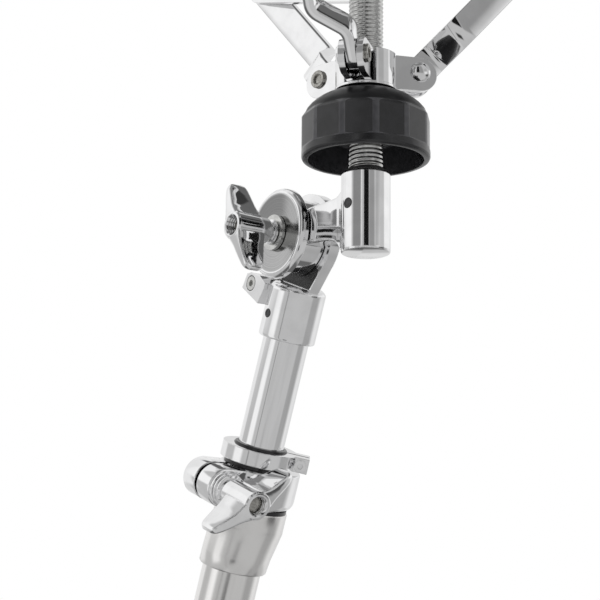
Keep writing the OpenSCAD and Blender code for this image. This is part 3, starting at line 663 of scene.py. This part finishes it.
# Memory lock: a split chromed ring on a moulded black bush, closed by a small plated
# screw. It is set on the upper tube, and stops on the clamp.
dress(cast_chrome, "memory_lock")
dress(bright_bolt, "lock_screw")
bush_bore, bush_radius, bush_low, bush_high = 11.25, 13.05, 389.8, 398
shape = bmesh.new()
turn_shell(shape, Matrix(), [
    (bush_bore, bush_low), (bush_radius, bush_low), (bush_radius, bush_high - 1),
    (bush_radius - 0.15, bush_high - 0.3), (bush_radius - 0.45, bush_high),
    (bush_bore, bush_high),
])
bush = new_piece("lock_bush_moulded", shape, black_plastic)
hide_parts("lock_bush")
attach(bush, "memory_lock")

# Upper tube: polished steel tube with bright chrome. It slides in the lower tube, and
# the pinch screw holds it in the tilter's socket.
tube_chrome = surface(
    "tube_chrome", colour=CHROME, dark=CHROME_DARK,
    gloss=(0.05, 0.1), spots=(2, 2, 40), relief=(30, 0.006), edge=0.3,
)
upper_bore, upper_radius, upper_foot, upper_top = 9.7, 11.1, 184.1, 474
shape = bmesh.new()
turn_shell(shape, Matrix(), [
    (upper_bore, upper_foot), (upper_radius - 0.3, upper_foot),
    (upper_radius, upper_foot + 0.3), (upper_radius, upper_foot + 0.9),
    (upper_radius, upper_top - 1), (upper_radius, upper_top), (upper_bore, upper_top),
], 96)
upper_tube = new_piece("upper_tube_drawn", shape, tube_chrome)
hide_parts("upper_tube")
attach(upper_tube, "upper")

# Tilter base: a chromed casting, a split socket on the tube with a pinch lug beside it
# and an upright disc above. A thin black sheet over the pocket between the two is painted
# shade for its dark hollow, and a black set screw sits in the socket's polished skin.
dress(cast_chrome, "tilter_base")
dress(zinc, "pinch_screw")
half_slit = 3.4  # degrees
socket_section = [
    # radius, height
    (11.3, 450.5), (12.9, 450.5), (13.5, 450.8), (13.78, 451.4), (13.78, 452), (13.78, 474),
    (13.78, 474.6), (13.66, 475.2), (13.3, 475.8), (12.7, 476.4), (11.9, 476.9), (11.3, 477.15),
]
shape = bmesh.new()
socket_rows = []
for k in range(97):
    angle = math.radians(180 + half_slit + (360 - 2 * half_slit) * k / 96)
    socket_rows.append([
        (radius * math.cos(angle), radius * math.sin(angle), height)
        for radius, height in socket_section
    ])
skin_shell(shape, Matrix(), socket_rows)
socket_skin = new_piece("socket_skin", shape, cast_chrome)
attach(socket_skin, "upper")

black_oxide_and_painted_shade = surface(
    "black_oxide_and_painted_shade", colour=(0.02, 0.02, 0.021), dark=(0.012, 0.012, 0.012),
    gloss=(0.3, 0.5), spots=(0.6, 0.6, 0.6), relief=(0.4, 0.01), edge=0.1, metallic=0,
)
# A thin black sheet over the pocket between the socket and the disc, which stands in for the
# pocket's dark hollow: painted shade.
shade_sheet_front, shade_sheet_back = -2.9, -2.7
painted_shade_outline = [
    # x, z
    (-11.4, 477.4), (12.4, 477.4), (14.2, 481.2), (16, 485.2), (16.4, 488), (12, 489),
    (-12, 489), (-16, 486), (-13.8, 482),
]
shape = bmesh.new()
skin_shell(
    shape, Matrix(),
    [[(x, y, z) for x, z in painted_shade_outline] for y in (shade_sheet_back, shade_sheet_front)],
)
painted_shade_pocket = new_piece("painted_shade_pocket", shape, black_oxide_and_painted_shade)
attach(painted_shade_pocket, "upper")

socket_screw_height = 461.8
socket_screw_turn = math.radians(-92)
shape = bmesh.new()
turn_shell(
    shape,
    axes(
        (0, 0, socket_screw_height), (0, 0, 1),
        (math.cos(socket_screw_turn), math.sin(socket_screw_turn), 0),
    ),
    [
        (0, 11.4), (2.2, 11.4), (2.2, 13.82), (2, 13.96), (1.3, 13.96), (1.2, 13.84),
        (0, 13.84),
    ], 36,
)
socket_set_screw = new_piece("socket_set_screw", shape, black_oxide_and_painted_shade)
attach(socket_set_screw, "upper")

# Tilter's wing nut: the smaller chromed casting on the hinge bolt, on a thin neck. It
# draws the front plate and the arm's eye against the upright.
hinge_height = 500.1
tilt_nut_y = -22.5
tilt_wing_turn = math.radians(132)
tilt_nut = axes(
    (0, tilt_nut_y, hinge_height),
    (math.cos(tilt_wing_turn), 0, math.sin(tilt_wing_turn)), (0, -1, 0),
)
tilt_nut_length = 23
tilt_nut_foot = [(5.6, 0), (6, 0.3), (6, 1), (4.9, 1.3), (4.9, 3.6)]
shape = bmesh.new()
turn_shell(shape, tilt_nut, hub_profile(
    tilt_nut_length, tilt_nut_foot, base=6, front=6.9, bore=4.6
))
wing_shells(
    shape, tilt_nut, tilt_nut_length, span=47, hub=6.3, sweep=3, root_depth=15.5, tip_depth=9.3
)
tilter_wings = new_piece("tilter_wing_nut_cast", shape, cast_chrome)
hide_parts("tilter_wing_nut")
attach(tilter_wings, "tilter_wing")

# Hinge bolt: a plated bolt with a flat head behind the upright, threaded up to its end
# in the wing nut.
shape = bmesh.new()
turn_shell(
    shape, axes((0, 0, hinge_height), (1, 0, 0), (0, -1, 0)),
    [(0, -7.75), (6.9, -7.75), (7.5, -7.2), (7.5, -2.8), (bolt_radius, -2.8)]
    + threaded_end(41.5),
)
hinge_bolt = new_piece("hinge_bolt_threaded", shape, steel_bolt)
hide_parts("tilter_bolt")
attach(hinge_bolt, "upper")

# Tilter arm: a chromed casting with a round eye on the hinge bolt and a flat panel
# that widens into the clamp round the post.
basket_lean = math.radians(-22.4)
tilter_place = (
    Matrix.Translation((0, 0, MM * hinge_height)) @ Matrix.Rotation(basket_lean, 4, "Y")
)
arm_y = -9.5
eye_bore, eye_radius, eye_half = 4.1, 18, 6.5
shape = bmesh.new()
turn_shell(shape, tilter_place @ axes((0, arm_y, 0), (1, 0, 0), (0, -1, 0)), [
    (eye_bore, -eye_half), (eye_radius - 0.8, -eye_half), (eye_radius, -eye_half + 0.8),
    (eye_radius, eye_half - 0.8), (eye_radius - 0.8, eye_half), (eye_bore, eye_half),
])
arm_rows = []
for along_arm, low_edge, high_edge, half_wide in [
    (10, -7.6, 8.8, 5.4), (16, -7.9, 9.2, 6), (24, -8.4, 9.2, 6), (32, -9.4, 9.2, 6),
    (37, -10.6, 9.3, 6), (40.5, -12.2, 9.6, 6), (43, -14.6, 10.4, 6.2),
    (45, -17, 11.6, 6.4), (47, -18.2, 12, 6.4), (49, -18.4, 12, 6),
]:
    arm_rows.append([
        (along_arm, arm_y + across, up)
        for across, up in rounded_box(half_wide, low_edge, high_edge, 1.6)
    ])
skin_shell(shape, tilter_place, arm_rows)
tilter_arm = new_piece("tilter_arm_cast", shape, cast_chrome)
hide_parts("tilter_arm")
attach(tilter_arm, "tilter")


# Front plate and washer: a chromed disc whose face is turned in fine rings inside a
# polished rim, and a plated washer under the nut.
def turned_face(material, centre, front_y, radius, pitch, depth, colour):
    """Cuts fine rings into a finish round an axis along y through the centre's (x, z),
    inside the radius and in front of front_y. All sizes are in mm."""
    tree = material.node_tree
    shader = tree.nodes["Principled BSDF"]
    place = add_node(tree, "ShaderNodeTexCoord").outputs["Object"]
    from_centre = add_node(tree, "ShaderNodeMapping", {
        "Vector": place, "Location": (-centre[0] * MM, 0, -centre[1] * MM), "Scale": (1, 0, 1),
    }).outputs[0]
    from_axis = add_node(
        tree, "ShaderNodeVectorMath", {0: from_centre}, operation="LENGTH"
    ).outputs["Value"]
    along_y = add_node(tree, "ShaderNodeSeparateXYZ", {0: place}).outputs["Y"]
    on_face = arithmetic(
        tree, "MULTIPLY", ramp(tree, from_axis, MM * (radius - 0.3), MM * (radius + 0.3), 1, 0),
        arithmetic(tree, "LESS_THAN", along_y, MM * front_y),
    )
    rings = add_node(
        tree, "ShaderNodeTexNoise", {"W": from_axis, "Scale": 1 / (MM * pitch), "Detail": 2},
        noise_dimensions="1D",
    ).outputs["Fac"]
    old_normal = shader.inputs["Normal"].links[0].from_socket
    old_colour = shader.inputs["Base Color"].links[0].from_socket
    grooved = add_node(tree, "ShaderNodeBump", {
        "Height": rings, "Distance": MM * depth, "Strength": on_face, "Normal": old_normal,
    }).outputs[0]
    tree.links.new(grooved, shader.inputs["Normal"])
    groove_shade = 0.72
    ringed = add_node(
        tree, "ShaderNodeMix", {
            0: ramp(tree, rings, 0.3, 0.7),
            6: (*colour, 1), 7: (*[groove_shade * c for c in colour], 1),
        }, data_type="RGBA",
    ).outputs[2]
    coloured = add_node(
        tree, "ShaderNodeMix", {0: on_face, 6: old_colour, 7: ringed}, data_type="RGBA"
    ).outputs[2]
    tree.links.new(coloured, shader.inputs["Base Color"])


plate_chrome = surface(
    "plate_chrome", colour=CHROME, dark=CHROME_DARK,
    gloss=(0.05, 0.12), spots=(5, 5, 5), relief=(5, 0.02), edge=0.4,
)
turned_face(
    plate_chrome, centre=(0, hinge_height), front_y=-20, radius=18.6, pitch=0.3, depth=0.006,
    colour=(0.5, 0.5, 0.5),
)
plate_back_y = -16.05
shape = bmesh.new()
turn_shell(shape, axes((0, plate_back_y, hinge_height), (1, 0, 0), (0, -1, 0)), [
    (4.1, 0), (21.2, 0), (21.5, 0.3), (21.5, 2.6), (21.3, 3.2), (20.4, 4.15), (19.8, 4.45),
    (19.2, 4.5), (18.8, 4.45), (18.5, 4.3), (4.1, 4.3),
], 96)
front_plate = new_piece("tilter_plate_turned", shape, plate_chrome)
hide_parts("tilter_plate")
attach(front_plate, "tilter")
dress(zinc, "tilter_washer")

# Post: a turned and chromed steel post with a black set screw that holds the rod, and
# a black ring on its top under the nut, which stands in for the dark gap there: painted shade.
post_out = 56
basket_place = tilter_place @ Matrix.Translation((MM * post_out, MM * arm_y, 0))
post_radius, post_low, post_high, rod_seat = 11.3, -19.5, 18.2, 8.1
shape = bmesh.new()
turn_shell(shape, basket_place, [
    (0, post_low), (post_radius - 0.9, post_low), (post_radius - 0.25, post_low + 0.3),
    (post_radius, post_low + 0.9), (post_radius, post_low + 1.4),
    (post_radius, post_high - 1.4), (post_radius, post_high - 0.9),
    (post_radius - 0.25, post_high - 0.3), (post_radius - 0.9, post_high),
    (rod_seat, post_high), (rod_seat, post_high - 3), (0, post_high - 3),
], 96)
post = new_piece("post_turned", shape, cast_chrome)
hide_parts("post")
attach(post, "tilter")

post_screw_height = 2.3
post_screw_turn = math.radians(-84)
shape = bmesh.new()
turn_shell(
    shape,
    basket_place @ axes(
        (0, 0, post_screw_height), (0, 0, 1),
        (math.cos(post_screw_turn), math.sin(post_screw_turn), 0),
    ),
    [(0, 8.2), (2.5, 8.2), (2.5, 11.3), (2.3, 11.46), (1.4, 11.46), (1.3, 11.36), (0, 11.36)],
    36,
)
post_set_screw = new_piece("post_set_screw", shape, black_oxide_and_painted_shade)
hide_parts("post_screw")
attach(post_set_screw, "tilter")

# A black ring on the post's top, in the nut's mouth: painted shade that stands in for the dark
# gap there.
gap_shade_bore, gap_shade_radius, gap_shade_thick = 8.05, 8.8, 1.7
shape = bmesh.new()
turn_shell(shape, basket_place, [
    (gap_shade_bore, post_high), (gap_shade_radius - 0.1, post_high),
    (gap_shade_radius, post_high + 0.1), (gap_shade_radius, post_high + gap_shade_thick - 0.2),
    (gap_shade_radius - 0.2, post_high + gap_shade_thick), (gap_shade_bore, post_high + gap_shade_thick),
])
post_gap_shade = new_piece("post_gap_shade", shape, black_rubber)
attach(post_gap_shade, "tilter")

# Threaded rod: a plated steel rod with a coarse thread cut along its whole length. It
# is screwed into the post and carries the nut, the hub and the spider.
steel_rod = surface(
    "steel_rod", colour=(0.7, 0.7, 0.69), dark=(0.55, 0.55, 0.54),
    gloss=(0.14, 0.24), spots=(1.5, 1.5, 1.5), relief=(1, 0.004), edge=0.05,
)
rod_radius, rod_bottom, rod_top = 8.0, -14.0, 127.5
rod_pitch, groove_depth, rows_along, rod_sides = 2.0, 0.75, 425, 28
thread = bpy.data.node_groups.new("threaded_rod", "GeometryNodeTree")
for name, kind in (
    ("Radius", "NodeSocketFloat"), ("Length", "NodeSocketFloat"), ("Pitch", "NodeSocketFloat"),
    ("Depth", "NodeSocketFloat"), ("Rows", "NodeSocketInt"), ("Steel", "NodeSocketMaterial"),
):
    thread.interface.new_socket(name, in_out="INPUT", socket_type=kind)
thread.interface.new_socket("Rod", in_out="OUTPUT", socket_type="NodeSocketGeometry")
given = add_node(thread, "NodeGroupInput").outputs
blank = add_node(
    thread, "GeometryNodeMeshCylinder",
    {
        "Vertices": rod_sides, "Side Segments": given["Rows"],
        "Radius": given["Radius"], "Depth": given["Length"],
    }, fill_type="NGON",
).outputs["Mesh"]
point = add_node(
    thread, "ShaderNodeSeparateXYZ",
    {0: add_node(thread, "GeometryNodeInputPosition").outputs[0]},
).outputs
turns = arithmetic(
    thread, "DIVIDE", arithmetic(thread, "ARCTAN2", point["Y"], point["X"]), 2 * math.pi
)
pitches_up = arithmetic(thread, "DIVIDE", point["Z"], given["Pitch"])
phase = arithmetic(thread, "FRACT", arithmetic(thread, "SUBTRACT", pitches_up, turns))
groove = arithmetic(
    thread, "MULTIPLY",
    arithmetic(thread, "ABSOLUTE", arithmetic(thread, "SUBTRACT", phase, 0.5)), 2.0,
)
depth_share = arithmetic(thread, "DIVIDE", given["Depth"], given["Radius"])
cut = arithmetic(
    thread, "SUBTRACT", 1.0,
    arithmetic(thread, "MULTIPLY", ramp(thread, groove, 0.1, 0.9), depth_share),
)
moved = add_node(thread, "ShaderNodeCombineXYZ", {
    "X": arithmetic(thread, "MULTIPLY", point["X"], cut),
    "Y": arithmetic(thread, "MULTIPLY", point["Y"], cut), "Z": point["Z"],
}).outputs[0]
threaded = add_node(
    thread, "GeometryNodeSetPosition", {"Geometry": blank, "Position": moved}
).outputs[0]
smooth = add_node(thread, "GeometryNodeSetShadeSmooth", {"Geometry": threaded}).outputs[0]
whole = add_node(thread, "GeometryNodeRealizeInstances", {"Geometry": smooth}).outputs[0]
plated = add_node(
    thread, "GeometryNodeSetMaterial", {"Geometry": whole, "Material": given["Steel"]}
).outputs[0]
add_node(thread, "NodeGroupOutput", {0: plated})


def grown(name, tree, values):
    """The plain mesh that a tree makes from the given inputs."""
    seed = bpy.data.objects.new(name + "_seed", bpy.data.meshes.new(name + "_seed"))
    bpy.context.scene.collection.objects.link(seed)
    modifier = seed.modifiers.new("grow", "NODES")
    modifier.node_group = tree
    for item in tree.interface.items_tree:
        if item.in_out == "INPUT":
            modifier[item.identifier] = values[item.name]
    ready = seed.evaluated_get(bpy.context.evaluated_depsgraph_get())
    mesh = bpy.data.meshes.new_from_object(ready)
    mesh.name = name
    bpy.data.objects.remove(seed)
    return mesh


rod_mesh = grown("threaded_rod_cut", thread, {
    "Radius": MM * rod_radius, "Length": MM * (rod_top - rod_bottom), "Pitch": MM * rod_pitch,
    "Depth": MM * groove_depth, "Rows": rows_along, "Steel": steel_rod,
})
rod_mesh.transform(
    basket_place @ Matrix.Translation((0, 0, MM * (rod_top + rod_bottom) / 2))
)
rod = bpy.data.objects.new("threaded_rod_cut", rod_mesh)
bpy.context.scene.collection.objects.link(rod)
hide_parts("threaded_rod")
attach(rod, "tilter")

# Spider and cap: a chromed casting near the rod's top that the links hang on, its
# plated pins, and the domed nut that closes the rod.
dress(cast_chrome, "spider", "rod_cap")
dress(zinc, "spider_pins")

# Black nut: a moulded nut with twelve flats round its skirt, a smooth lip below them
# and a dome above, over a steel insert. The dome is painted darker, with a weaker sheen, as
# painted shade, and the ribs between the flats a lighter black, as painted highlights.
# The dome's colour is darker and its sheen weaker than the nut's plastic: painted shade.
painted_shade_dome = surface(
    "painted_shade_dome", colour=(0.006, 0.006, 0.0065), dark=(0.004, 0.004, 0.0045),
    gloss=(0.3, 0.4), spots=(5, 5, 5), relief=(0.4, 0.004), edge=0.3, metallic=0,
    Specular_IOR_Level=0.28,
)
# The ribs get a lighter black than the flats: a painted highlight along each rib.
painted_highlight_rib = surface(
    "painted_highlight_rib", colour=(0.036, 0.036, 0.039), dark=(0.026, 0.026, 0.028),
    gloss=(0.16, 0.24), spots=(3, 3, 3), relief=(0.4, 0.004), edge=0.5, metallic=0,
)
nut_rows = [
    # height over the basket's origin, distance to the flats, radius of the corners
    (24.5, 26.75, 26.75), (24.5, 28.3, 28.3), (24.9, 29.2, 29.2), (25.7, 29.6, 29.6),
    (28.2, 29.6, 29.6), (28.8, 29.4, 24), (29.4, 28.9, 6), (43.9, 28.9, 6), (44.7, 28.5, 8),
    (45.6, 28.1, 16), (46.6, 27.9, 27.9), (47.8, 27.4, 27.4), (49.6, 25.9, 25.9),
    (51.2, 24.1, 24.1), (52.8, 21.9, 21.9), (54.1, 19.6, 19.6), (55.1, 17.3, 17.3),
    (55.8, 15, 15), (56.7, 14, 14), (57, 13, 13), (57, 11.2, 11.2), (33.5, 11.2, 11.2),
    (33.5, 14, 14), (51.4, 14, 14), (42.9, 26.75, 26.75),
]
first_rib, half_rib = 1.3, 13.8  # degrees
ribs_from, dome_from = 29, 45.2
keeps_apart = 0.999  # no two points of an outline meet, where it is round


def twelve_sided(apothem, corner, steps=6):
    """Outline of a round with twelve flats and a rounded rib between each two, as (x, y)
    points."""
    middle = (apothem - corner) / math.cos(math.radians(15))
    outline = []
    for rib in range(12):
        turn = math.radians(30 * rib + first_rib)
        for k in range(steps + 1):
            angle = turn + math.radians(30 * k / steps - 15)
            outline.append((
                middle * math.cos(turn) + corner * math.cos(angle),
                middle * math.sin(turn) + corner * math.sin(angle),
            ))
    return outline


shape = bmesh.new()
skin_shell(shape, basket_place, [
    [(x, y, height) for x, y in twelve_sided(apothem, corner * keeps_apart)]
    for height, apothem, corner in nut_rows
], looped=True)
black_nut = new_piece("basket_nut_moulded", shape, black_plastic, 24)
black_nut.data.materials.append(painted_shade_dome)
black_nut.data.materials.append(painted_highlight_rib)
from_basket = basket_place.inverted()
# Faces above dome_from take the dome's painted shade, and the ribs below it the painted
# highlight.
for face in black_nut.data.polygons:
    height = (from_basket @ face.center).z / MM
    facing = from_basket.to_3x3() @ face.normal
    off_rib = (math.degrees(math.atan2(facing.y, facing.x)) - first_rib + 15) % 30 - 15
    if height > dome_from:
        face.material_index = 1
    elif height > ribs_from and abs(off_rib) < half_rib:
        face.material_index = 2
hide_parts("basket_nut")
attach(black_nut, "basket_nut")
dress(zinc, "nut_insert")

# Hub: three bent steel plates round a sleeve, chromed, with a screw on one side and
# a domed head on the other side of each pivot.
dress(strap_chrome, "hub_plate_1", "hub_plate_2", "hub_plate_3", "hub_sleeve")
first_arm_turn, arm_spacing = 69.8, 120
pivot_radius, pivot_height, half_clevis, pin_radius = 24.6, 67.5, 5.85, 3
dome_radius, dome_height, dome_steps = 4.9, 2.9, 8


def at_arm(number):
    """Place of an arm's pivot: x points out along the arm's plane and z up."""
    turn = math.radians(first_arm_turn + arm_spacing * (number - 1))
    return (
        basket_place @ Matrix.Rotation(turn, 4, "Z")
        @ Matrix.Translation((MM * pivot_radius, 0, MM * pivot_height))
    )


dome = []
for k in range(dome_steps + 1):
    angle = math.radians(90 * k / dome_steps)
    dome.append((
        dome_radius * math.sin(angle), -half_clevis - dome_height * math.cos(angle)
    ))
shape = bmesh.new()
for number in (1, 2, 3):
    turn_shell(
        shape, at_arm(number) @ axes((0, 0, 0), (1, 0, 0), (0, 1, 0)),
        dome + [(pin_radius, -half_clevis), (pin_radius, half_clevis), (0, half_clevis)], 36,
    )
pivots = new_piece("hub_pivots_domed", shape, cast_chrome)
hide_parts("hub_rivets")
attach(pivots, "hub")

shape = bmesh.new()
for number in (1, 2, 3):
    turn_shell(shape, at_arm(number) @ axes((0, half_clevis, 0), (1, 0, 0), (0, 1, 0)), [
        (0, 0), (4.1, 0), (4.3, 0.3), (4.3, 0.9), (3.9, 1.3), (2.7, 1.3), (2.3, 1),
        (2.3, 0.2), (0, 0.2),
    ], 36)
pivot_screws = new_piece("hub_pivot_screws", shape, steel_bolt)
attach(pivot_screws, "hub")

# Arms: flat chromed bars with a rounded sidestep near the pivot, a shallow bend
# downwards and an upright end. Each turns on its pivot between two hub plates.
arm_thick, arm_wide = 5, 14
arm_rise = math.radians(-48)
step_start, step_length, step_aside = 13, 11, 15.3
flat_run, outer_run, end_run = 110, 95, 36
outer_bend, end_bend = 28, 55
corner_radii, corner_steps = (7, 7, 30, 18), 8
step_is_over = 60


def round_end(tip, heading):
    """Stations from a bar's tip inwards, close together where its round end needs them."""
    return [
        (tip + heading * arm_wide / 2 * share, heading)
        for share in (0, 0.05, 0.2, 0.45, 0.75, 1)
    ]


down, up = math.radians(outer_bend), math.radians(end_bend - outer_bend)
corners = [
    Vector((-arm_wide / 2, 0, 0)), Vector((step_start, 0, 0)),
    Vector((step_start + step_length, -step_aside, 0)), Vector((flat_run, -step_aside, 0)),
]
corners.append(corners[-1] + outer_run * Vector((math.cos(down), 0, -math.sin(down))))
corners.append(corners[-1] + end_run * Vector((math.cos(up), 0, math.sin(up))))
middle_line = round_end(corners[0], (corners[1] - corners[0]).normalized())
for before, corner, after, radius in zip(corners, corners[1:], corners[2:], corner_radii):
    come, go = (corner - before).normalized(), (after - corner).normalized()
    half_turn = come.angle(go) / 2
    start = corner - come * radius * math.tan(half_turn)
    inward = (go - come * come.dot(go)).normalized()
    for k in range(corner_steps + 1):
        angle = 2 * half_turn * k / corner_steps
        middle_line.append((
            start + radius * (math.sin(angle) * come + (1 - math.cos(angle)) * inward),
            math.cos(angle) * come + math.sin(angle) * inward,
        ))
inwards = (corners[-2] - corners[-1]).normalized()
middle_line += [(spot, -heading) for spot, heading in reversed(round_end(corners[-1], inwards))]

bar_rows = []
for spot, heading in middle_line:
    if spot.x < step_is_over:
        wide_way = Vector((0, 0, 1))
        thick_way = wide_way.cross(heading)
    else:
        thick_way = Vector((0, 1, 0))
        wide_way = heading.cross(thick_way)
    from_end = min((spot - corners[0]).length, (spot - corners[-1]).length)
    half_wide = arm_wide / 2
    if from_end < half_wide:
        half_wide = max(0.6, math.sqrt(half_wide ** 2 - (half_wide - from_end) ** 2))
    bar_rows.append([
        spot + thick_way * across + wide_way * along_width
        for across, along_width in rounded_box(arm_thick / 2, -half_wide, half_wide, 0.5, 2)
    ])
for number in (1, 2, 3):
    shape = bmesh.new()
    skin_shell(shape, at_arm(number) @ Matrix.Rotation(arm_rise, 4, "Y"), bar_rows)
    bar = new_piece(f"basket_arm_{number}", shape, strap_chrome)
    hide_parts(f"arm_{number}")
    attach(bar, f"arm_{number}")

low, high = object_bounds()
